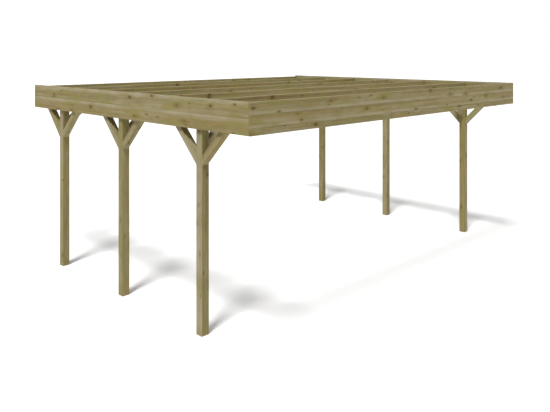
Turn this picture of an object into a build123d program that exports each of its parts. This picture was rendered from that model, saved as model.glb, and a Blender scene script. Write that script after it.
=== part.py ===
"""Open double carport: a flat-roofed frame of pressure-treated softwood.

Six square posts stand in two rows. A purlin lies on each row, seven rafters span
from purlin to purlin, and boards are fixed round the roof edge as a fascia, open
at the back. Head braces at 45 degrees stiffen each post: one forward and one
backward under the purlin, flush with the post's outer face, and one inward under
the rafter over the post, centred on it.

X runs along the wide front, Y from the front to the back, and Z is up. The origin
is on the ground, in the middle of the plan. All sizes are in millimetres.
"""
import os
from math import sqrt

from build123d import *

# Plan of the roof
width = 5590.0                # over the outer faces of the side fascias
depth = 4684.0                # from the front fascia's face to the back rafter's

# Posts
post_size = 95.0              # square section
post_height = 2150.0          # from the ground to the underside of the purlin
post_rafters = (2, 4, 6)      # the rafters, counted from the front, over a post

# Purlins, along Y on the post tops
purlin_width = 95.0
purlin_height = 125.0

# Rafters, along X on the purlins
rafter_thickness = 45.0
rafter_height = 180.0
rafter_count = 7

# Head braces, cut to stand flat against the post and the timber above
brace_width = 80.0
brace_depth = 70.0            # square to the brace's length, along the rows
inward_brace_depth = 90.0     # the same, across the bay
brace_reach = 375.0           # from the post's face, and down from the timber above

# Fascia boards
fascia_thickness = 25.0
fascia_rise = 21.0            # above the rafter tops
front_board_height = 126.0    # the two upper front boards; the lowest takes the rest
front_board_count = 3
side_board_count = 2          # equal in height

# Planed arrises, taken off the long edges
timber_arris = 3.0
board_arris = 2.5

# Levels
purlin_underside = post_height
rafter_underside = purlin_underside + purlin_height
fascia_top = rafter_underside + rafter_height + fascia_rise
fascia_height = fascia_top - purlin_underside

# Places in plan
front_y = -depth / 2
back_y = depth / 2
frame_front_y = front_y + fascia_thickness
row_x = width / 2 - fascia_thickness - purlin_width / 2
first_rafter_y = frame_front_y + rafter_thickness / 2
last_rafter_y = back_y - rafter_thickness / 2
rafter_spacing = (last_rafter_y - first_rafter_y) / (rafter_count - 1)
rafter_length = width - 2 * fascia_thickness
frame_depth = back_y - frame_front_y
brace_shift = (post_size - brace_width) / 2   # outward, from the row's centre line

sides = {"left": -1, "right": 1}
post_places = ("front", "middle", "rear")


def rafter_y(number):
    """Centre line of a rafter, counted from 1 at the front."""
    return first_rafter_y + (number - 1) * rafter_spacing


def save(part, name):
    """Label a finished piece and write its STEP file."""
    part.label = name
    export_step(part, f"parts/{name}.step")


def post(x, y):
    """A square post, standing flat on the ground."""
    with BuildPart() as upright:
        with BuildSketch(Plane.XY):
            with Locations((x, y)):
                Rectangle(post_size, post_size)
        extrude(amount=post_height)
        chamfer(upright.edges().filter_by(Axis.Z), timber_arris)
    return upright.part


def purlin(x):
    """A beam along a row of posts, from the front fascia to the back."""
    with BuildPart() as beam:
        with BuildSketch(Plane.XZ.offset(-frame_front_y)):
            with Locations((x, purlin_underside + purlin_height / 2)):
                Rectangle(purlin_width, purlin_height)
        extrude(amount=-frame_depth)
        chamfer(beam.edges().filter_by(Axis.Y), timber_arris)
    return beam.part


def rafter(y):
    """A joist on edge across both purlins, between the side fascias."""
    with BuildPart() as joist:
        with BuildSketch(Plane.YZ.offset(-rafter_length / 2)):
            with Locations((y, rafter_underside + rafter_height / 2)):
                Rectangle(rafter_thickness, rafter_height)
        extrude(amount=rafter_length)
        chamfer(joist.edges().filter_by(Axis.X), timber_arris)
    return joist.part


def head_brace(face_x, face_y, away, beam_underside, section_depth):
    """A 45 degree brace that runs away from a post's face, up to the timber above."""
    away = Vector(*away)
    up = Vector(0, 0, 1)
    side_plane = Plane(origin=(face_x, face_y, 0), x_dir=away, z_dir=away.cross(up))
    slope = Axis((0, 0, 0), away + up)
    slant = section_depth * sqrt(2)
    foot = beam_underside - brace_reach
    with BuildPart() as brace:
        with BuildSketch(side_plane):
            with BuildLine():
                Polyline(
                    (0, foot),
                    (brace_reach, beam_underside),
                    (brace_reach - slant, beam_underside),
                    (0, foot + slant),
                    close=True,
                )
            make_face()
        extrude(amount=brace_width / 2, both=True)
        chamfer(brace.edges().filter_by(slope), timber_arris)
    return brace.part


def front_board(underside, height):
    """A fascia board across the whole front, over the ends of the side boards."""
    with BuildPart() as board:
        with BuildSketch(Plane.YZ.offset(-width / 2)):
            with Locations((front_y + fascia_thickness / 2, underside + height / 2)):
                Rectangle(fascia_thickness, height)
        extrude(amount=width)
        chamfer(board.edges().filter_by(Axis.X), board_arris)
    return board.part


def side_board(side, underside, height):
    """A fascia board along one side, from behind the front boards to the back."""
    with BuildPart() as board:
        with BuildSketch(Plane.XZ.offset(-frame_front_y)):
            with Locations((side * (width - fascia_thickness) / 2, underside + height / 2)):
                Rectangle(fascia_thickness, height)
        extrude(amount=-frame_depth)
        chamfer(board.edges().filter_by(Axis.Y), board_arris)
    return board.part


os.makedirs("parts", exist_ok=True)

for side_name, side in sides.items():
    x = side * row_x
    save(purlin(x), f"{side_name}_purlin")
    for place, number in zip(post_places, post_rafters):
        y = rafter_y(number)
        half_post = post_size / 2
        post_name = f"{side_name}_{place}_post"
        save(post(x, y), post_name)
        brace_x = x + side * brace_shift
        forward = head_brace(brace_x, y - half_post, (0, -1, 0), purlin_underside, brace_depth)
        save(forward, f"{post_name}_forward_brace")
        backward = head_brace(brace_x, y + half_post, (0, 1, 0), purlin_underside, brace_depth)
        save(backward, f"{post_name}_backward_brace")
        inner_x = x - side * half_post
        inward = head_brace(inner_x, y, (-side, 0, 0), rafter_underside, inward_brace_depth)
        save(inward, f"{post_name}_inward_brace")
    board_height = fascia_height / side_board_count
    for level, level_name in enumerate(("lower", "upper")):
        board = side_board(side, purlin_underside + level * board_height, board_height)
        save(board, f"{side_name}_fascia_{level_name}_board")

for number in range(1, rafter_count + 1):
    save(rafter(rafter_y(number)), f"rafter_{number}")

lowest_height = fascia_height - (front_board_count - 1) * front_board_height
for level, level_name in enumerate(("top", "middle", "bottom")):
    board_top = fascia_top - level * front_board_height
    board_height = lowest_height if level_name == "bottom" else front_board_height
    save(front_board(board_top - board_height, board_height), f"front_fascia_{level_name}_board")
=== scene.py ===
"""The looks of an open double carport in pressure-treated softwood.

Every timber of the frame is modelled again with rounded arrises and a wood that
knows where it lay in the log, so that its growth rings, streaks and knots run
through the piece and come out on its sawn ends. Screws hold the boards, the rafters
and the braces. Lengths are in metres.
"""
import math
import random

import bmesh
import bpy
import numpy as np
from mathutils import Matrix, Vector


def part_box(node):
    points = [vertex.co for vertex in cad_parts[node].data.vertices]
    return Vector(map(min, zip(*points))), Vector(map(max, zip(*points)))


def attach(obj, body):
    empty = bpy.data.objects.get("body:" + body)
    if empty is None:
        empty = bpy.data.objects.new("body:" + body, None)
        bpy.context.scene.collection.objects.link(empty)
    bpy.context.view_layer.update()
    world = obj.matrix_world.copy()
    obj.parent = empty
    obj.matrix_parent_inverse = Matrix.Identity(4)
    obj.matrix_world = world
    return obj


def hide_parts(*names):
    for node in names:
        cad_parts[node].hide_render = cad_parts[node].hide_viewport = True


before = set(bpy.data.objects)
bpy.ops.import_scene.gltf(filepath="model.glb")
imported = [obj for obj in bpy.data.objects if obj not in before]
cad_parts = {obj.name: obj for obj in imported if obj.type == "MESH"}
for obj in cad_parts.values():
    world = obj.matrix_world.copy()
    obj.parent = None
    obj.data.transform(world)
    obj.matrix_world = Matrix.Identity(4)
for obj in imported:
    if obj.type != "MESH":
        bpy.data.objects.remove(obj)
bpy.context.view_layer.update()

PICTURE_WIDTH, PICTURE_HEIGHT = 550, 412

X, Y, Z = Vector((1, 0, 0)), Vector((0, 1, 0)), Vector((0, 0, 1))
SIDES = {"left": -1, "right": 1}
PLACES = ("front", "middle", "rear")

TIMBER_ARRIS = 0.0035        # radius on posts, purlins, rafters and braces
BOARD_ARRIS = 0.0028         # radius on fascia boards
SAWN_ARRIS = 0.0008          # the hairline chamfer left by the saw
ROUNDING_STEPS = 3
ARRIS_SMOOTHING = math.radians(35)   # edges bent less than this are shaded round
FLAT_FACE_WEIGHT = 100               # the most that a broad face can pull on its normals

# Cosines that tell how far a face or an edge looks or runs in some direction
PARALLEL = 0.999             # an edge runs along it
SQUARE_ON = 0.99             # a face looks straight along it, and isn't a rounded arris
LOOKING_UP = 0.9             # a face looks up
MOSTLY = 0.5                 # a face looks more that way than any other
HARDLY = 0.1                 # a face looks hardly that way

draws = random.Random(41)


# ---------------------------------------------------------------- modelling

def clear_selection():
    """Nothing selected and nothing active, as before each new piece."""
    if bpy.context.object and bpy.context.object.mode != "OBJECT":
        bpy.ops.object.mode_set(mode="OBJECT")
    bpy.ops.object.select_all(action="DESELECT")


def take(piece):
    """Makes one piece the only one selected, and active."""
    clear_selection()
    piece.select_set(True)
    bpy.context.view_layer.objects.active = piece


def edit(piece, select_by):
    """Opens a piece in edit mode, selecting by edges or faces."""
    take(piece)
    bpy.ops.object.mode_set(mode="EDIT")
    bpy.ops.mesh.select_mode(type=select_by)


def select_where(piece, kind, wanted):
    """In edit mode, selects only the edges or faces for which wanted(item) holds."""
    bpy.ops.mesh.select_all(action="DESELECT")
    mesh = bmesh.from_edit_mesh(piece.data)
    for item in getattr(mesh, kind):
        item.select = wanted(item)
    mesh.select_flush_mode()
    bmesh.update_edit_mesh(piece.data)


def runs_along(edge, direction):
    """True where an edge lies along a direction."""
    step = (edge.verts[1].co - edge.verts[0].co).normalized()
    return abs(step.dot(direction)) > PARALLEL


def bounds_sawn_end(edge, grain):
    """True where an edge parts a long face from a sawn end."""
    if len(edge.link_faces) != 2:
        return False
    facing = [abs(face.normal.dot(grain)) for face in edge.link_faces]
    return min(facing) < HARDLY and max(facing) > MOSTLY


def settle(piece):
    """Freezes a piece's place, turn and scale into its mesh."""
    take(piece)
    bpy.ops.object.transform_apply(location=True, rotation=True, scale=True)


def block(name, low, high):
    """A block between two corners."""
    clear_selection()
    bpy.ops.mesh.primitive_cube_add(size=1, location=(low + high) / 2)
    piece = bpy.context.object
    piece.name = name
    piece.scale = high - low
    settle(piece)
    return piece


def keep_faces_flat(piece):
    """Smooths the rounded arrises and leaves the broad faces flat."""
    bpy.ops.object.shade_smooth_by_angle(angle=ARRIS_SMOOTHING)
    weighted = piece.modifiers.new("flat faces", "WEIGHTED_NORMAL")
    weighted.keep_sharp = True
    weighted.weight = FLAT_FACE_WEIGHT
    bpy.ops.object.modifier_apply(modifier=weighted.name)


def round_arrises(piece, grain, radius):
    """Rounds the long edges, and takes a hair off the sawn ends."""
    edit(piece, "EDGE")
    select_where(piece, "edges", lambda edge: runs_along(edge, grain))
    bpy.ops.mesh.bevel(offset=radius, segments=ROUNDING_STEPS, profile=0.5, affect="EDGES")
    select_where(piece, "edges", lambda edge: bounds_sawn_end(edge, grain))
    bpy.ops.mesh.bevel(offset=SAWN_ARRIS, segments=1, affect="EDGES")
    bpy.ops.object.mode_set(mode="OBJECT")
    keep_faces_flat(piece)


# ---------------------------------------------------------------- grain

LOG_RANGE = 40.0             # a timber starts anywhere in this stretch of the pattern
HEART_WANDER = 0.022         # how far off the middle a boxed heart lies
HEART_ASIDE = 0.035          # how far to one side of a board its heart lies
HEART_BEHIND = (0.035, 0.055)    # and how far behind it


def store(piece, name, kind, domain, rows):
    """Writes one value per point or corner into a named attribute."""
    field = {"FLOAT_COLOR": "color", "FLOAT_VECTOR": "vector", "FLOAT": "value"}[kind]
    made = piece.data.attributes.new(name, kind, domain)
    made.data.foreach_set(field, np.asarray(rows, dtype=np.float32).ravel())


def lay_grain(piece, grain, across, outward, heart, streaks, tone):
    """Tells each point of a timber its place in the log.

    log_place is the way along the grain, and the ways across and outward from the heart.
    face_band is the height on the face, and the heights of its pale and dark streaks,
    in streak widths; on the fascia boards these bands are partly painted light and shade.
    The tone attribute holds the timber's lightness and warmth, and marks its sawn ends
    and the faces that look up, which are painted lighter as painted light from above.
    rounded marks its arrises.
    """
    mesh = piece.data
    points = np.array([vertex.co for vertex in mesh.vertices])
    centre = (points.min(axis=0) + points.max(axis=0)) / 2
    local = (points - centre) @ np.array([grain, across, outward]).T
    start = draws.uniform(0, LOG_RANGE)
    store(piece, "log_place", "FLOAT_VECTOR", "POINT", local - np.array([-start, *heart]))
    pale, dark, width = streaks
    band = np.stack([local[:, 1], np.full(len(local), pale), np.full(len(local), dark)], axis=1)
    store(piece, "face_band", "FLOAT_VECTOR", "POINT", band / width)
    corners = np.zeros((len(mesh.loops), 4))
    corners[:, :2] = tone
    rounded = np.zeros(len(mesh.loops))
    for face in mesh.polygons:
        loops = list(face.loop_indices)
        square = max(abs(face.normal.dot(way)) for way in (grain, across, outward))
        corners[loops, 2] = abs(face.normal.dot(grain)) > MOSTLY
        # faces that look up are marked to be painted lighter, a painted light from above
        corners[loops, 3] = face.normal.z > LOOKING_UP
        rounded[loops] = square < SQUARE_ON
    store(piece, "tone_and_top_light", "FLOAT_COLOR", "CORNER", corners)
    store(piece, "rounded", "FLOAT", "CORNER", rounded)


def tone_of(node):
    """How light and how warm one timber is beside the rest, by chance unless it is listed. Two
    listed braces are made lighter as painted light.
    """
    lightness, warmth = draws.uniform(0, 1), draws.uniform(0, 1)
    if node.startswith("rafter_"):
        lightness -= RAFTERS_DARKER
    return TONES_AND_PAINTED_LIGHT.get(node, (lightness, warmth))


def boxed_heart():
    """A heart that lies inside the timber, a little off its middle."""
    return draws.uniform(-HEART_WANDER, HEART_WANDER), draws.uniform(-HEART_WANDER, HEART_WANDER)


def heart_behind():
    """A heart that lies behind the board, as in a board sawn from the side of a log."""
    return draws.uniform(-HEART_ASIDE, HEART_ASIDE), -draws.uniform(*HEART_BEHIND)


# ---------------------------------------------------------------- timbers

# A timber's streaks: the height of the pale one on its face, from the middle, that of
# the dark one, and the half width of both. On the fascia boards the bands near the
# edges are painted light and shade.
NOWHERE = 9.0                # a height far off every face, for a streak left out
NO_STREAKS = (NOWHERE, NOWHERE, 0.03)
RAFTER_PALE = (-0.03, 0.03)  # from lowest to highest
RAFTER_DARK = (0.055, 0.070)
RAFTER_STREAK = 0.016        # half widths
# front fascia boards: painted shade near each upper edge, painted light near each lower edge
FRONT_LIGHT_AND_SHADE_BAND = 0.028
# side fascia boards: painted light near each upper edge, and a dark streak
SIDE_LIGHT_AND_STREAK_BAND = 0.042
PALE_BRACE_STREAK = 0.12        # on a brace that is pale all over: sapwood, and on one brace painted light

# Posts with pale sapwood along one side: the side, how far outside its face the paleness
# is greatest, or inside below 0, and how far from there it reaches
SAPWOOD_POSTS = {
    "left_front_post": (-1, 0.002, 0.014),
    "left_rear_post": (-1, 0.006, 0.014),
    "right_middle_post": (-1, 0.006, 0.014),
    "right_front_post": (1, -0.039, 0.055),
}
SAPWOOD_AND_PAINTED_LIGHT_BRACES = (
    "left_front_post_backward_brace",
    "left_middle_post_backward_brace",
    # painted light: this brace is made pale all over, for light on its shaded front face
    "left_front_post_inward_brace",
)
TONES_AND_PAINTED_LIGHT = {                    # lightness and warmth, where 0 to 1 is the usual range
    "left_front_post": (-0.50, 0.00),
    "left_middle_post": (0.65, 0.50),
    "left_rear_post": (-0.05, 0.60),
    "right_front_post": (0.10, 0.80),
    "right_middle_post": (0.10, 0.10),
    "right_rear_post": (-0.40, 0.00),
    "left_front_post_forward_brace": (0.15, 0.80),
    "left_front_post_backward_brace": (0.30, 0.00),
    # painted light: much lighter, for light on this brace's shaded front face
    "left_front_post_inward_brace": (1.80, 0.30),
    "left_middle_post_backward_brace": (-0.25, 0.00),
    "left_rear_post_forward_brace": (1.30, 0.00),
    "right_front_post_forward_brace": (0.60, 0.00),
    # painted light: lighter, for light on this brace's shaded outer face
    "right_front_post_backward_brace": (1.30, 0.00),
    "front_fascia_top_board": (0.80, 0.55),
    "front_fascia_bottom_board": (0.65, 0.35),
}
RAFTERS_DARKER = 0.5         # off the rafters' lightness
SAME_LEVEL = 0.0001          # points nearer than this in height are level


def finish_timber(piece, node, material):
    """Hangs a finished timber on the frame in place of its plain node."""
    piece.data.materials.append(material)
    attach(piece, "root")
    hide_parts(node)


def square_timber(node, grain, outward, radius, heart, material, streaks=NO_STREAKS):
    """A square-sawn timber in the place of a node, with its grain laid in."""
    low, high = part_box(node)
    piece = block(node + "_timber", low, high)
    round_arrises(piece, grain, radius)
    across = X if grain == Z else Z
    lay_grain(piece, grain, across, outward, heart, streaks, tone_of(node))
    finish_timber(piece, node, material)


def brace_depth(node, away):
    """A brace's depth, from the length of its level sawn head."""
    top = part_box(node)[1].z
    corners = [vertex.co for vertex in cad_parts[node].data.vertices]
    head = [corner.dot(away) for corner in corners if corner.z > top - SAME_LEVEL]
    return (max(head) - min(head)) / math.sqrt(2)


def head_brace(node, away, material):
    """A 45 degree brace, sawn plumb at the post and level under the timber above."""
    low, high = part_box(node)
    centre, reach = (low + high) / 2, high.z - low.z
    grain, upward = (away + Z).normalized(), (Z - away).normalized()
    side = upward.cross(grain)
    depth = brace_depth(node, away)
    width = abs((high - low).dot(side))
    length = reach * math.sqrt(2) + 2 * depth       # with some to saw off at each end
    bar = Vector((length, width, depth)) / 2
    piece = block(node + "_timber", -bar, bar)
    turn = Matrix((grain, side, upward)).transposed().to_4x4()
    piece.matrix_world = Matrix.Translation(centre + upward * depth / 2) @ turn
    settle(piece)
    edit(piece, "FACE")
    for cut, waste in ((centre - away * reach / 2, -away), (high, Z)):
        bpy.ops.mesh.select_all(action="SELECT")
        bpy.ops.mesh.bisect(plane_co=cut, plane_no=waste, use_fill=True, clear_outer=True)
    round_arrises(piece, grain, TIMBER_ARRIS)
    # pale all over: sapwood, and on one brace painted light
    streaks = (0.0, NOWHERE, PALE_BRACE_STREAK) if node in SAPWOOD_AND_PAINTED_LIGHT_BRACES else NO_STREAKS
    lay_grain(piece, grain, upward, side, boxed_heart(), streaks, tone_of(node))
    finish_timber(piece, node, material)


def posts(material):
    """Six square posts. Four of them are sapwood, and so paler, on one side."""
    for side in SIDES:
        for place in PLACES:
            node = f"{side}_{place}_post"
            low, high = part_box(node)
            streaks = NO_STREAKS
            if node in SAPWOOD_POSTS:
                sign, past, reach = SAPWOOD_POSTS[node]
                streaks = (sign * ((high.x - low.x) / 2 + past), NOWHERE, reach)
            heart = boxed_heart()
            square_timber(node, Z, Y, TIMBER_ARRIS, heart, material, streaks)


def brace_ways(sign):
    """The three ways that braces leave a post of one row."""
    return {"forward": -Y, "backward": Y, "inward": -sign * X}


def braces(material):
    """Three head braces to a post: forward, backward and inward."""
    for side, sign in SIDES.items():
        for place in PLACES:
            for way, away in brace_ways(sign).items():
                head_brace(f"{side}_{place}_post_{way}_brace", away, material)


def purlins(material):
    """A purlin on each row of posts."""
    for side in SIDES:
        square_timber(f"{side}_purlin", Y, X, TIMBER_ARRIS, boxed_heart(), material)


def rafter_names():
    """The rafters' nodes, from front to back."""
    return sorted(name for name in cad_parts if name.startswith("rafter_"))


def rafters(material):
    """Rafters on edge, sawn from beside the heart."""
    for node in rafter_names():
        streaks = (draws.uniform(*RAFTER_PALE), draws.uniform(*RAFTER_DARK), RAFTER_STREAK)
        square_timber(node, X, -Y, TIMBER_ARRIS, heart_behind(), material, streaks)


def fascia_boards(material):
    """Three boards across the front, and two along each side, with painted light and shade near
    their edges.
    """
    # painted light near the lower edges, painted shade near the upper edges
    front_light_and_shade_bands = {"top": (-0.050, 0.036), "middle": (-0.050, 0.050), "bottom": (NOWHERE, 0.028)}
    for level, (pale, dark) in front_light_and_shade_bands.items():
        node = f"front_fascia_{level}_board"
        streaks = (pale, dark, FRONT_LIGHT_AND_SHADE_BAND)
        square_timber(node, X, -Y, BOARD_ARRIS, heart_behind(), material, streaks)
    # pale near each upper edge as painted light; the dark one is a streak
    side_light_and_streak_bands = {"upper": (0.072, -0.020), "lower": (0.072, -0.042)}
    for side, sign in SIDES.items():
        for level, (pale, dark) in side_light_and_streak_bands.items():
            node = f"{side}_fascia_{level}_board"
            streaks = (pale, dark, SIDE_LIGHT_AND_STREAK_BAND)
            heart = heart_behind()
            square_timber(node, Y, sign * X, BOARD_ARRIS, heart, material, streaks)


# ---------------------------------------------------------------- screws

HEAD_RADIUS = 0.0045
HEAD_RISE = 0.0006
RIM_WIDTH = 0.18 * HEAD_RADIUS       # the sloped rim
RIM_RISE = 0.4 * HEAD_RISE           # from the rim's outside to its inside
SOCKET_RADIUS = 0.0022
SOCKET_DEPTH = 0.9 * HEAD_RISE
SOCKET_POINTS = 6
SOCKET_WAIST = 0.72          # the star's inner radius, beside its outer one
HEAD_SMOOTHING = math.radians(30)
EDGE_ROOM = 0.025            # from a screw to the edge of what it holds
TIP_ROOM = 0.055             # from a brace's screws to its tip, along its lower face
NARROW = 0.09                # a lap narrower than this takes one row of screws
FAR_APART = 0.70             # the most between two screws of a row


def screw_head():
    """One flush head with a star socket, at the origin, looking up."""
    clear_selection()
    rim = 2 * SOCKET_POINTS
    bpy.ops.mesh.primitive_cylinder_add(vertices=rim, radius=HEAD_RADIUS, depth=HEAD_RISE)
    head = bpy.context.object
    head.name = "screw_head"
    edit(head, "FACE")
    select_where(head, "faces", lambda face: face.normal.z < -MOSTLY)
    bpy.ops.mesh.delete(type="FACE")
    select_where(head, "faces", lambda face: face.normal.z > MOSTLY)
    bpy.ops.mesh.inset(thickness=RIM_WIDTH)
    bpy.ops.transform.translate(value=(0, 0, RIM_RISE))
    bpy.ops.mesh.inset(thickness=HEAD_RADIUS - RIM_WIDTH - SOCKET_RADIUS)
    pinch_alternate_corners(head)
    bpy.ops.mesh.extrude_region_move(TRANSFORM_OT_translate={"value": (0, 0, -SOCKET_DEPTH)})
    bpy.ops.object.mode_set(mode="OBJECT")
    bpy.ops.object.shade_smooth_by_angle(angle=HEAD_SMOOTHING)
    return head


def pinch_alternate_corners(head):
    """Draws every other corner of the selected face inwards, into a star."""
    mesh = bmesh.from_edit_mesh(head.data)
    face = next(item for item in mesh.faces if item.select)
    for corner in list(face.verts)[::2]:
        corner.co.xy *= SOCKET_WAIST
    bmesh.update_edit_mesh(head.data)


def spread(low, high):
    """Places for screws along one side of a lap."""
    length = high - low
    if length < NARROW:
        return [(low + high) / 2]
    gaps = max(1, math.ceil((length - 2 * EDGE_ROOM) / FAR_APART))
    step = (length - 2 * EDGE_ROOM) / gaps
    return [low + EDGE_ROOM + step * index for index in range(gaps + 1)]


def screws_through(board, backing, outward):
    """Screws in a board's outer face wherever it laps a timber behind it."""
    (board_low, board_high), (back_low, back_high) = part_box(board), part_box(backing)
    level = max(board_low.dot(outward), board_high.dot(outward))
    flat = [axis for axis in (X, Y, Z) if abs(axis.dot(outward)) < MOSTLY]
    starts = [max(board_low.dot(axis), back_low.dot(axis)) for axis in flat]
    ends = [min(board_high.dot(axis), back_high.dot(axis)) for axis in flat]
    return [
        (outward * level + flat[0] * first + flat[1] * second, outward)
        for first in spread(starts[0], ends[0])
        for second in spread(starts[1], ends[1])
    ]


def fascia_screws():
    """Screws of the fascia: at every rafter end, along the purlins, and across the front."""
    seats = []
    front_rafter = rafter_names()[0]
    for level in ("top", "middle"):
        seats += screws_through(f"front_fascia_{level}_board", front_rafter, -Y)
    for side, sign in SIDES.items():
        seats += screws_through("front_fascia_bottom_board", f"{side}_purlin", -Y)
        seats += screws_through(f"{side}_fascia_lower_board", f"{side}_purlin", sign * X)
        for rafter in rafter_names():
            for level in ("upper", "lower"):
                seats += screws_through(f"{side}_fascia_{level}_board", rafter, sign * X)
    return seats


def rafter_screws():
    """A long screw down through each rafter into each purlin."""
    seats = []
    for rafter in rafter_names():
        for side in SIDES:
            purlin_low, purlin_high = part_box(f"{side}_purlin")
            low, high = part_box(rafter)
            middle = Vector(((purlin_low.x + purlin_high.x) / 2, (low.y + high.y) / 2, high.z))
            seats.append((middle, Z))
    return seats


def brace_screws():
    """Two screws side by side at each end of every brace, in its lower face."""
    seats = []
    for side, sign in SIDES.items():
        for place in PLACES:
            for way, away in brace_ways(sign).items():
                seats += lower_face_screws(f"{side}_{place}_post_{way}_brace", away)
    return seats


def lower_face_screws(node, away):
    """The four screws in one brace's lower face."""
    low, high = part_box(node)
    centre, reach = (low + high) / 2, high.z - low.z
    grain, outward = (away + Z).normalized(), (away - Z).normalized()
    side = grain.cross(outward)
    half_width = abs((high - low).dot(side)) / 2
    from_middle = reach / math.sqrt(2) - TIP_ROOM
    return [
        (centre + grain * end * from_middle + side * row * (half_width - EDGE_ROOM), outward)
        for end in (-1, 1)
        for row in (-1, 1)
    ]


def drive_screws(name, seats, head, material):
    """One piece made of a screw head at every seat, each turned its own way."""
    copies = []
    for place, outward in seats:
        copy = head.copy()
        copy.data = head.data.copy()
        bpy.context.collection.objects.link(copy)
        spin = Matrix.Rotation(draws.uniform(0, math.tau), 4, "Z")
        lean = outward.to_track_quat("Z", "Y").to_matrix().to_4x4()
        copy.matrix_world = Matrix.Translation(place + outward * HEAD_RISE / 2) @ lean @ spin
        copies.append(copy)
    clear_selection()
    for copy in copies:
        copy.select_set(True)
    bpy.context.view_layer.objects.active = copies[0]
    bpy.ops.object.join()
    joined = bpy.context.object
    joined.name = name
    settle(joined)
    joined.data.materials.append(material)
    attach(joined, "root")


def screws(material):
    """All the screws, in three pieces."""
    head = screw_head()
    drive_screws("fascia_screws", fascia_screws(), head, material)
    drive_screws("rafter_screws", rafter_screws(), head, material)
    drive_screws("brace_screws", brace_screws(), head, material)
    bpy.data.objects.remove(head)


# ---------------------------------------------------------------- node helpers

def new_group(name, inputs, outputs):
    """A shader node group with named sockets. Returns its tree, inputs and outputs."""
    tree = bpy.data.node_groups.new(name, "ShaderNodeTree")
    kinds = {"v": "NodeSocketVector", "f": "NodeSocketFloat", "c": "NodeSocketColor"}
    for label, kind in inputs.items():
        tree.interface.new_socket(label, in_out="INPUT", socket_type=kinds[kind])
    for label, kind in outputs.items():
        tree.interface.new_socket(label, in_out="OUTPUT", socket_type=kinds[kind])
    return tree, tree.nodes.new("NodeGroupInput").outputs, tree.nodes.new("NodeGroupOutput").inputs


def plug(tree, value, socket):
    """Links a socket, or sets a plain value. None leaves the input as it is."""
    if isinstance(value, bpy.types.NodeSocket):
        tree.links.new(value, socket)
    elif value is not None:
        socket.default_value = value


def calc(tree, operation, first, second=None, third=None):
    """A Math node."""
    node = tree.nodes.new("ShaderNodeMath")
    node.operation = operation
    for value, socket in zip((first, second, third), node.inputs):
        plug(tree, value, socket)
    return node.outputs[0]


def add(tree, *values):
    """The sum of several values."""
    total = values[0]
    for value in values[1:]:
        total = calc(tree, "ADD", total, value)
    return total


def times(tree, *values):
    """The product of several values."""
    total = values[0]
    for value in values[1:]:
        total = calc(tree, "MULTIPLY", total, value)
    return total


def length_of(tree, first, second):
    """The length of a step given by its two parts."""
    return calc(tree, "SQRT", add(tree, times(tree, first, first), times(tree, second, second)))


def ramp(tree, value, start, end, low=0.0, high=1.0):
    """Smoothly maps start..end on to low..high."""
    node = tree.nodes.new("ShaderNodeMapRange")
    node.interpolation_type = "SMOOTHSTEP"
    for item, socket in zip((value, start, end, low, high), node.inputs):
        plug(tree, item, socket)
    return node.outputs[0]


def parts_of(tree, vector):
    """The three parts of a vector."""
    node = tree.nodes.new("ShaderNodeSeparateXYZ")
    plug(tree, vector, node.inputs[0])
    return node.outputs


def vector_of(tree, *values):
    """A vector from three parts."""
    node = tree.nodes.new("ShaderNodeCombineXYZ")
    for value, socket in zip(values, node.inputs):
        plug(tree, value, socket)
    return node.outputs[0]


def noise(tree, vector, per_metre, detail=2.0):
    """Noise from 0 to 1, with its own number of waves per metre each way."""
    node = tree.nodes.new("ShaderNodeVectorMath")
    node.operation = "MULTIPLY"
    plug(tree, vector, node.inputs[0])
    node.inputs[1].default_value = per_metre
    texture = tree.nodes.new("ShaderNodeTexNoise")
    plug(tree, node.outputs[0], texture.inputs["Vector"])
    texture.inputs["Scale"].default_value = 1
    texture.inputs["Detail"].default_value = detail
    return texture.outputs["Fac"]


def blend(tree, share, first, second):
    """Mixes two colours."""
    node = tree.nodes.new("ShaderNodeMix")
    node.data_type = "RGBA"
    node.clamp_factor = True
    plug(tree, share, node.inputs[0])
    for value, socket in ((first, node.inputs[6]), (second, node.inputs[7])):
        plug(tree, (*value, 1) if isinstance(value, tuple) else value, socket)
    return node.outputs[2]


def use_group(tree, group, **values):
    """Places a group, and returns its outputs. Underscores stand for spaces."""
    node = tree.nodes.new("ShaderNodeGroup")
    node.node_tree = group
    for label, value in values.items():
        plug(tree, value, node.inputs[label.replace("_", " ")])
    return node.outputs


def new_material(name):
    """A material with nodes. Returns it, its tree and its surface shader."""
    material = bpy.data.materials.new(name)
    material.use_nodes = True
    return material, material.node_tree, material.node_tree.nodes["Principled BSDF"]


def read(tree, attribute, part="Vector"):
    """Reads a piece's own attribute."""
    node = tree.nodes.new("ShaderNodeAttribute")
    node.attribute_name = attribute
    return node.outputs[part]


# ---------------------------------------------------------------- wood effects

SEED_STEP = 17.3             # keeps the chances of two sets of knots apart
RAY_STEP = 3.7               # and those of two checks
SECOND_CHANCE = 7.3          # makes a second chance out of the first
KNOT_LEAN = 0.3              # how far up the log a branch goes for each step outward
KNOT_WOBBLE = 0.006          # how far a knot's outline strays
KNOTLESS_HEART = 0.004       # no knot comes nearer the heart
YEAR_RING = 0.0014           # from ring to ring inside a knot
LIVE_KNOT = 0.60             # how strongly a knot shows where its branch was alive
DEAD_KNOT = 0.40             # and how much more where it had died
SMALLEST_KNOT = 0.60         # a knot's radius, in shares of the usual one
KNOT_RANGE = 0.75            # and how much larger it may be
KNOT_CORE = 0.72             # how far out a knot is dark all through, in shares of its radius
BARK_EDGE = 1.3              # and where its bark, the stain round it and the bent grain end
HALO_START, HALO_EDGE = 0.6, 2.9
LIFT_EDGE = 4.5
HALO_DRAWN_OUT = 0.55        # below 1, the stain reaches further along the grain than across
RING_WANDER = 0.030          # how far growth rings stray, slowly along the log
RING_RIPPLE = 0.004          # and quickly
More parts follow.
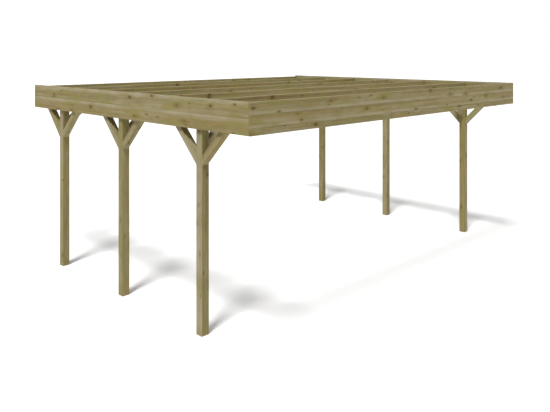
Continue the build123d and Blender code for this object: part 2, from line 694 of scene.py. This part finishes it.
RING_LIFT = 0.009            # how far a knot pushes them out
STREAK_DRIFT = 0.7           # how far a streak strays, in its half widths
FAINTEST = 0.35              # how strongly a ring or a streak shows where it is faint
CHECK_WANDER = 0.5           # how far a check strays, in steps from check to check
CHECK_CORE = 0.4             # how far out a check is dark all through, in shares of its width
THINNEST_CHECK = 0.0001


def centred(tree, value):
    """A value from 0 to 1, moved to lie about 0."""
    return calc(tree, "SUBTRACT", value, 0.5)


def knot_group():
    """Branches that leave the heart at random heights and angles, where they meet a face."""
    tree, given, made = new_group(
        "branch_knots",
        {
            "Place": "v", "Spacing": "f", "Swing": "f", "Size": "f", "Share": "f",
            "Slant": "f", "Seed": "f",
        },
        {"Knot": "f", "Bark": "f", "Halo": "f", "Lift": "f", "Year Rings": "f"},
    )
    along, rise, outward = parts_of(tree, given["Place"])
    steps = add(tree, calc(tree, "DIVIDE", along, given["Spacing"]), given["Seed"])
    cell = calc(tree, "FLOOR", steps)
    chance = tree.nodes.new("ShaderNodeTexWhiteNoise")
    chance.noise_dimensions = "1D"
    plug(tree, calc(tree, "MULTIPLY_ADD", given["Seed"], SEED_STEP, cell), chance.inputs["W"])
    first, second, third = parts_of(tree, chance.outputs["Color"])

    # A branch leaves somewhere in the middle three fifths of its stretch, at any angle
    own_place = calc(tree, "MULTIPLY_ADD", first, 0.6, 0.2)
    within = calc(tree, "SUBTRACT", calc(tree, "SUBTRACT", steps, cell), own_place)
    offset = times(tree, within, given["Spacing"])
    angle = times(tree, calc(tree, "MULTIPLY_ADD", second, 2.0, -1.0), given["Swing"])
    sine, cosine = calc(tree, "SINE", angle), calc(tree, "COSINE", angle)
    beside = calc(tree, "SUBTRACT", times(tree, rise, cosine), times(tree, outward, sine))
    reach = add(tree, times(tree, rise, sine), times(tree, outward, cosine))
    leaning = calc(tree, "MULTIPLY_ADD", reach, -KNOT_LEAN, offset)

    # How far the surface is from the branch's axis, round, and drawn out along the grain
    ragged = centred(tree, noise(tree, given["Place"], (90, 90, 90), 1.0))
    wobble = times(tree, ragged, KNOT_WOBBLE)
    distance = add(tree, length_of(tree, times(tree, leaning, given["Slant"]), beside), wobble)
    drawn_out = length_of(tree, times(tree, leaning, given["Slant"], HALO_DRAWN_OUT), beside)
    present = times(
        tree,
        calc(tree, "LESS_THAN", chance.outputs["Value"], given["Share"]),
        calc(tree, "GREATER_THAN", reach, KNOTLESS_HEART),
    )

    # Branches that died early leave darker knots, with a rim of bark
    larger = calc(tree, "MULTIPLY_ADD", third, KNOT_RANGE, SMALLEST_KNOT)
    radius = times(tree, given["Size"], larger)
    inner = times(tree, radius, KNOT_CORE)
    outer = times(tree, radius, BARK_EDGE)
    dead = ramp(tree, calc(tree, "FRACT", times(tree, first, SECOND_CHANCE)), 0.35, 0.60)
    darkness = calc(tree, "MULTIPLY_ADD", dead, DEAD_KNOT, LIVE_KNOT)
    disc = ramp(tree, distance, inner, radius, darkness, 0.0)
    plug(tree, times(tree, present, disc), made["Knot"])
    rise_in = ramp(tree, distance, inner, radius)
    fall_out = ramp(tree, distance, radius, outer, 1.0, 0.0)
    plug(tree, times(tree, present, times(tree, rise_in, fall_out), dead), made["Bark"])

    # The grain round it is stained, and bends past it
    halo_start, halo_edge = times(tree, radius, HALO_START), times(tree, radius, HALO_EDGE)
    halo = ramp(tree, drawn_out, halo_start, halo_edge, 1.0, 0.0)
    plug(tree, times(tree, present, halo), made["Halo"])
    lift = ramp(tree, drawn_out, 0.0, times(tree, radius, LIFT_EDGE), 1.0, 0.0)
    plug(tree, times(tree, present, lift), made["Lift"])
    waves = calc(tree, "SINE", times(tree, distance, math.tau / YEAR_RING))
    plug(tree, calc(tree, "MULTIPLY_ADD", waves, 0.5, 0.5), made["Year Rings"])
    return tree


def grain_group():
    """Growth rings round the heart, streaks along the log, and fine fibre.

    All noise is drawn out along the log: it has fewer waves per metre that way.
    """
    tree, given, made = new_group(
        "log_grain",
        {"Place": "v", "Ring Width": "f", "Lift": "f"},
        {
            "Late Wood": "f", "Streak": "f", "Thin Streak": "f", "Fibre": "f",
            "Patch": "f", "Stain": "f", "Cloud": "f",
        },
    )
    place = given["Place"]
    _, rise, outward = parts_of(tree, place)
    radius = length_of(tree, rise, outward)
    wander = times(tree, centred(tree, noise(tree, place, (0.8, 5, 5), 1.0)), RING_WANDER)
    ripple = times(tree, centred(tree, noise(tree, place, (5, 22, 22), 1.0)), RING_RIPPLE)
    radius = add(tree, radius, wander, ripple, times(tree, given["Lift"], -RING_LIFT))
    turn = calc(tree, "FRACT", calc(tree, "DIVIDE", radius, given["Ring Width"]))
    late = times(tree, ramp(tree, turn, 0.35, 0.92), ramp(tree, turn, 0.93, 1.0, 1.0, 0.0))
    boldness = ramp(tree, noise(tree, place, (1.1, 9, 9), 1.0), 0.3, 0.7, FAINTEST, 1.0)
    plug(tree, times(tree, late, boldness), made["Late Wood"])
    plug(tree, ramp(tree, noise(tree, place, (0.9, 26, 26)), 0.32, 0.68), made["Streak"])
    plug(tree, ramp(tree, noise(tree, place, (1.6, 85, 85)), 0.34, 0.66), made["Thin Streak"])
    plug(tree, noise(tree, place, (14, 700, 700)), made["Fibre"])
    plug(tree, noise(tree, place, (3.0, 13, 13), 1.0), made["Patch"])
    plug(tree, noise(tree, place, (3.6, 17, 17), 1.0), made["Stain"])
    plug(tree, noise(tree, place, (7.0, 15, 15), 1.0), made["Cloud"])
    return tree


def streak_and_painted_band_group():
    """The pale and the dark streak that a board carries along its length; on the fascia boards,
    partly painted light and shade.
    """
    tree, given, made = new_group(
        "board_streaks_and_painted_bands",
        {"Band": "v", "Place": "v"},
        {"Pale": "f", "Dark": "f"},
    )
    height, pale, dark = parts_of(tree, given["Band"])
    drift = times(tree, centred(tree, noise(tree, given["Place"], (1.6, 1, 1))), STREAK_DRIFT)
    strength = ramp(tree, noise(tree, given["Place"], (3.2, 3, 3)), 0.32, 0.66, FAINTEST, 1.0)
    for centre, socket in ((pale, made["Pale"]), (dark, made["Dark"])):
        off = calc(tree, "ABSOLUTE", add(tree, calc(tree, "SUBTRACT", height, centre), drift))
        plug(tree, times(tree, strength, ramp(tree, off, 0.0, 1.0, 1.0, 0.0)), socket)
    return tree


def check_group():
    """Drying checks: fine cracks that run out from the heart, and open and close along the log."""
    tree, given, made = new_group(
        "drying_checks",
        {"Place": "v", "Rays": "f", "Open": "f"},
        {"Check": "f"},
    )
    along, rise, outward = parts_of(tree, given["Place"])
    wander = times(tree, centred(tree, noise(tree, given["Place"], (1.3, 4, 4))), CHECK_WANDER)
    turn = times(tree, calc(tree, "ARCTAN2", rise, outward), given["Rays"], 1 / math.tau)
    turn = add(tree, turn, wander)
    ray = calc(tree, "FLOOR", turn)
    off_ray = calc(tree, "ABSOLUTE", centred(tree, calc(tree, "SUBTRACT", turn, ray)))
    step = calc(tree, "DIVIDE", math.tau, given["Rays"])
    distance = times(tree, off_ray, step, length_of(tree, rise, outward))
    own_line = vector_of(tree, along, times(tree, ray, RAY_STEP), 0.0)
    stretch = noise(tree, own_line, (1.4, 1, 1), 1.0)
    width = times(tree, ramp(tree, stretch, 0.56, 0.72), given["Open"])
    inner = times(tree, width, CHECK_CORE)
    line = ramp(tree, distance, inner, width, 1.0, 0.0)
    present = calc(tree, "GREATER_THAN", width, THINNEST_CHECK)
    plug(tree, times(tree, line, present), made["Check"])
    return tree


def wear_group():
    """Arrises rubbed pale here and there."""
    tree, given, made = new_group("worn_arrises", {"Place": "v", "Rounded": "f"}, {"Worn": "f"})
    patches = ramp(tree, noise(tree, given["Place"], (5, 30, 30)), 0.40, 0.68)
    plug(tree, times(tree, given["Rounded"], patches), made["Worn"])
    return tree


# ---------------------------------------------------------------- wood materials

PALE_WOOD = (0.352, 0.308, 0.172)
# pale streaks and sapwood, also used as painted light on the fascia and one brace
PALE_STREAK_AND_PAINTED_LIGHT = (0.405, 0.358, 0.250)
DEEP_WOOD = (0.163, 0.120, 0.026)
OLIVE_STAIN = (0.230, 0.213, 0.052)
WARM_STAIN = (0.335, 0.222, 0.080)
WORN_EDGE = (0.330, 0.290, 0.170)
KNOT_HALO = (0.200, 0.133, 0.028)
KNOT_BARK = (0.045, 0.032, 0.007)
KNOT_PALE = (0.135, 0.090, 0.018)
KNOT_DARK = (0.075, 0.050, 0.008)
SAWN_END = (0.200, 0.158, 0.074)
CHECK_SHADE = (0.075, 0.052, 0.020)
BRIGHT_ZINC = (0.46, 0.38, 0.20)
DULL_ZINC = (0.36, 0.31, 0.22)

LARGE_KNOT_SEED = 0.37
SMALL_KNOT_SEED = 5.11
SMALL_KNOT_SPACING = 0.73    # small knots beside the large ones
SMALL_KNOT_SIZE = 0.55
SMALL_KNOT_SHARE = 0.5
CHECK_WIDTH = 0.0009         # at its widest
WOOD_GLOSS = 0.3             # a dull wood, with little shine
RELIEF = 0.0006              # the height that 1 stands for in the surface's relief
RELIEF_STRENGTH = 0.6
MIDDLING_CLOUD = 0.42        # where a cloud neither darkens nor lightens
MIDDLING_TONE = 0.5


def wood_colour(tree, wood, knots, bands, marks, tone):
    """The colour of treated softwood, from its grain, streaks and knots.

    depth goes from 0 in pale wood to 1 in deep wood; faces that look up are painted
    lighter, a painted light from above, and on the fascia boards the pale and dark
    bands are partly painted light and shade. Stains, knots, worn edges, sawn ends and
    checks, with painted shade in the checks, are laid over that, each by its own share.
    """
    lightness, warmth, sawn, upward = tone
    depth = add(
        tree,
        times(tree, wood["Late Wood"], 0.34),
        times(tree, wood["Streak"], 0.36),
        times(tree, wood["Thin Streak"], 0.20),
        times(tree, centred(tree, wood["Fibre"]), 0.25),
        times(tree, calc(tree, "SUBTRACT", wood["Cloud"], MIDDLING_CLOUD), 0.45),
        # dark and pale bands: streaks, and on the fascia boards painted light and shade
        times(tree, bands["Dark"], 0.24),
        times(tree, bands["Pale"], -0.30),
        # painted light: faces that look up are made paler
        times(tree, upward, -0.15),
        times(tree, calc(tree, "SUBTRACT", MIDDLING_TONE, lightness), 0.22),
    )
    colour = blend(tree, calc(tree, "MAXIMUM", depth, 0.0), PALE_WOOD, DEEP_WOOD)
    olive = times(tree, ramp(tree, wood["Patch"], 0.55, 0.30), 0.65)
    colour = blend(tree, olive, colour, OLIVE_STAIN)
    stained = times(tree, ramp(tree, wood["Stain"], 0.56, 0.74), 0.38)
    colour = blend(tree, add(tree, stained, times(tree, warmth, 0.20)), colour, WARM_STAIN)
    # pale bands: streaks and sapwood, partly painted light
    colour = blend(tree, times(tree, bands["Pale"], 0.62), colour, PALE_STREAK_AND_PAINTED_LIGHT)
    colour = blend(tree, times(tree, knots["Halo"], 0.60), colour, KNOT_HALO)
    inside = blend(tree, knots["Year Rings"], KNOT_DARK, KNOT_PALE)
    colour = blend(tree, times(tree, knots["Knot"], 0.93), colour, inside)
    colour = blend(tree, times(tree, knots["Bark"], 0.85), colour, KNOT_BARK)
    colour = blend(tree, times(tree, marks["Worn"], 0.40), colour, WORN_EDGE)
    colour = blend(tree, times(tree, sawn, 0.45), colour, SAWN_END)
    return blend(tree, times(tree, marks["Check"], 0.85), colour, CHECK_SHADE)


def two_sizes_of_knots(tree, effect, place, swing, spacing, share, size, slant):
    """Large knots, and small ones among them. Where two meet, the stronger one shows."""
    large = use_group(
        tree, effect, Place=place, Swing=swing, Slant=slant,
        Spacing=spacing, Size=size, Share=share, Seed=LARGE_KNOT_SEED,
    )
    small = use_group(
        tree, effect, Place=place, Swing=swing, Slant=slant,
        Spacing=spacing * SMALL_KNOT_SPACING, Size=size * SMALL_KNOT_SIZE,
        Share=share * SMALL_KNOT_SHARE, Seed=SMALL_KNOT_SEED,
    )
    knots = {
        label: calc(tree, "MAXIMUM", large[label], small[label])
        for label in ("Knot", "Bark", "Halo", "Lift")
    }
    knots["Year Rings"] = large["Year Rings"]
    return knots


def wood_surface(tree, shader, wood, knots, marks):
    """How rough the wood is, and its relief: proud knots, sunk bark and open checks."""
    rough = add(
        tree,
        0.80,
        times(tree, wood["Late Wood"], -0.10),
        times(tree, knots["Knot"], -0.20),
    )
    plug(tree, rough, shader.inputs["Roughness"])
    shader.inputs["Specular IOR Level"].default_value = WOOD_GLOSS
    height = add(
        tree,
        times(tree, wood["Fibre"], 0.35),
        times(tree, wood["Late Wood"], 0.5),
        times(tree, knots["Knot"], 0.9),
        times(tree, knots["Bark"], -1.2),
        times(tree, marks["Check"], -2.0),
    )
    bump = tree.nodes.new("ShaderNodeBump")
    bump.inputs["Strength"].default_value = RELIEF_STRENGTH
    bump.inputs["Distance"].default_value = RELIEF
    plug(tree, height, bump.inputs["Height"])
    plug(tree, bump.outputs["Normal"], shader.inputs["Normal"])


def treated_softwood(name, effects, swing, spacing, share, size, slant, ring_width, rays):
    """Pressure-treated softwood: greenish tan, streaked along the grain, with dark knots.

    A share of the stretches of the log, each spacing long, have a branch, which leaves
    the heart within swing of straight outward. Its radius is about size, and a slant
    below 1 draws its knot out along the grain. rays is the number of drying checks
    round the heart.
    """
    knot_effect, grain_effect, streak_and_painted_band_effect, check_effect, wear_effect = effects
    material, tree, shader = new_material(name)
    place = read(tree, "log_place")
    lightness, warmth, sawn = parts_of(tree, read(tree, "tone_and_top_light", "Color"))
    # its alpha marks the faces that look up, painted lighter as painted light
    tone = lightness, warmth, sawn, read(tree, "tone_and_top_light", "Alpha")
    knots = two_sizes_of_knots(tree, knot_effect, place, swing, spacing, share, size, slant)
    wood = use_group(tree, grain_effect, Place=place, Ring_Width=ring_width, Lift=knots["Lift"])
    bands = use_group(tree, streak_and_painted_band_effect, Band=read(tree, "face_band"), Place=place)
    rounded = read(tree, "rounded", "Fac")
    marks = {
        "Check": use_group(tree, check_effect, Place=place, Rays=rays, Open=CHECK_WIDTH)["Check"],
        "Worn": use_group(tree, wear_effect, Place=place, Rounded=rounded)["Worn"],
    }
    plug(tree, wood_colour(tree, wood, knots, bands, marks, tone), shader.inputs["Base Color"])
    wood_surface(tree, shader, wood, knots, marks)
    return material


def yellow_zinc():
    """Yellow-passivated zinc plating, a little uneven in colour and gloss."""
    material, tree, shader = new_material("yellow_zinc_screws")
    place = tree.nodes.new("ShaderNodeTexCoord").outputs["Object"]
    cloud = noise(tree, place, (300, 300, 300))
    colour = blend(tree, ramp(tree, cloud, 0.3, 0.7), BRIGHT_ZINC, DULL_ZINC)
    plug(tree, colour, shader.inputs["Base Color"])
    plug(tree, ramp(tree, cloud, 0.3, 0.7, 0.35, 0.55), shader.inputs["Roughness"])
    shader.inputs["Metallic"].default_value = 0.9
    return material


# ---------------------------------------------------------------- set

FLOOR_SIZE = 120.0
LAMP_PLACE = (-5, -2, 10)            # where both stand, which doesn't change their light
SKY_STRENGTH = 0.08
SUN_STRENGTH = 3.45
SUN_ELEVATION = math.radians(63.1)
SUN_HEADING = math.radians(22.7)     # from +X towards +Y, the way the light travels
SUN_SPREAD = math.radians(12.8)
FILL_STRENGTH = 0.40
FILL_ELEVATION = math.radians(38)
FILL_HEADING = math.radians(90)
FILL_SPREAD = math.radians(60)
FLOOR_BOUNCE = 0.89                  # the floor's paleness, as it lights the timbers
FLOOR_LIT = 0.817                    # what the camera sees of the light on it
FLOOR_GLOW = 0.285                   # and the white below that, which lifts the shadows
FLOOR_SHELTER = 6.0                  # how far off a timber still dims that white, a painted shade near the timbers

CAMERA_PLACE = (-6.862, -6.774, 2.943)
CAMERA_HEADING = math.radians(44.77)  # from +Y towards +X
FOCAL_WIDTHS = 1.1541                 # focal length in picture widths
HORIZON_ROW = 0.1284                  # from the top, in picture heights
SENSOR = 36.0


def seen_directly(tree):
    """1 for what the camera sees, also in a gloss or through glass."""
    path = tree.nodes.new("ShaderNodeLightPath")
    either = calc(tree, "MAXIMUM", path.outputs["Is Camera Ray"], path.outputs["Is Glossy Ray"])
    return calc(tree, "MAXIMUM", either, path.outputs["Is Transmission Ray"])


def sky():
    """An even sky, dim as a light, that shows as white."""
    world = bpy.data.worlds.new("pale_sky")
    world.use_nodes = True
    tree = world.node_tree
    background = tree.nodes["Background"]
    background.inputs["Color"].default_value = (1, 1, 1, 1)
    strength = ramp(tree, seen_directly(tree), 0, 1, SKY_STRENGTH, 1.0)
    plug(tree, strength, background.inputs["Strength"])
    bpy.context.scene.world = world


def far_lamp(name, strength, elevation, heading, spread):
    """A lamp so far away that its light is parallel, but for its spread."""
    clear_selection()
    bpy.ops.object.light_add(type="SUN", location=LAMP_PLACE)
    lamp = bpy.context.object
    lamp.name = name
    flat = math.cos(elevation)
    travel = Vector((flat * math.cos(heading), flat * math.sin(heading), -math.sin(elevation)))
    lamp.rotation_euler = travel.to_track_quat("-Z", "Y").to_euler()
    lamp.data.energy = strength
    lamp.data.angle = spread


def lamps():
    """A soft sun, high on the front left, and a weak, broad light from the front."""
    far_lamp("soft_sun", SUN_STRENGTH, SUN_ELEVATION, SUN_HEADING, SUN_SPREAD)
    far_lamp("front_fill", FILL_STRENGTH, FILL_ELEVATION, FILL_HEADING, FILL_SPREAD)


def floor():
    """A white floor that keeps the shadow; the camera's white glow on it is dimmed near the
    timbers, a painted shade.
    """
    clear_selection()
    bpy.ops.mesh.primitive_plane_add(size=FLOOR_SIZE)
    plane = bpy.context.object
    plane.name = "white_floor"
    material, tree, shader = new_material("white_floor")
    tree.nodes.remove(shader)
    seen = seen_directly(tree)
    diffuse = tree.nodes.new("ShaderNodeBsdfDiffuse")
    plug(tree, ramp(tree, seen, 0, 1, FLOOR_BOUNCE, FLOOR_LIT), diffuse.inputs["Color"])
    glow = tree.nodes.new("ShaderNodeEmission")
    # the camera's glow is dimmed where timbers are near: painted shade
    shelter = tree.nodes.new("ShaderNodeAmbientOcclusion")
    shelter.inputs["Distance"].default_value = FLOOR_SHELTER
    white = times(tree, shelter.outputs["AO"], FLOOR_GLOW)
    plug(tree, times(tree, seen, white), glow.inputs["Strength"])
    both = tree.nodes.new("ShaderNodeAddShader")
    plug(tree, diffuse.outputs[0], both.inputs[0])
    plug(tree, glow.outputs[0], both.inputs[1])
    plug(tree, both.outputs[0], tree.nodes["Material Output"].inputs["Surface"])
    plane.data.materials.append(material)


def camera():
    """A level camera at the front left, above the roof's edge."""
    clear_selection()
    bpy.ops.object.camera_add(location=CAMERA_PLACE)
    eye = bpy.context.object
    eye.name = "view_camera"
    look = Vector((math.sin(CAMERA_HEADING), math.cos(CAMERA_HEADING), 0))
    eye.rotation_euler = look.to_track_quat("-Z", "Y").to_euler()
    eye.data.sensor_width = SENSOR
    eye.data.lens = SENSOR * FOCAL_WIDTHS
    eye.data.shift_y = (HORIZON_ROW - 0.5) * PICTURE_HEIGHT / PICTURE_WIDTH
    bpy.context.scene.camera = eye


# ---------------------------------------------------------------- making

bpy.context.scene.view_settings.view_transform = "Standard"
camera()
sky()
lamps()
floor()

wood_effects = knot_group(), grain_group(), streak_and_painted_band_group(), check_group(), wear_group()
heart_wood = treated_softwood(
    "treated_softwood_square", wood_effects,
    swing=math.pi, spacing=0.26, share=0.8, size=0.0105, slant=0.80, ring_width=0.0046, rays=9.0,
)
side_wood = treated_softwood(
    "treated_softwood_boards", wood_effects,
    swing=1.05, spacing=0.50, share=0.65, size=0.0118, slant=0.62, ring_width=0.0050, rays=13.0,
)

posts(heart_wood)
braces(heart_wood)
purlins(heart_wood)
rafters(side_wood)
fascia_boards(side_wood)
screws(yellow_zinc())
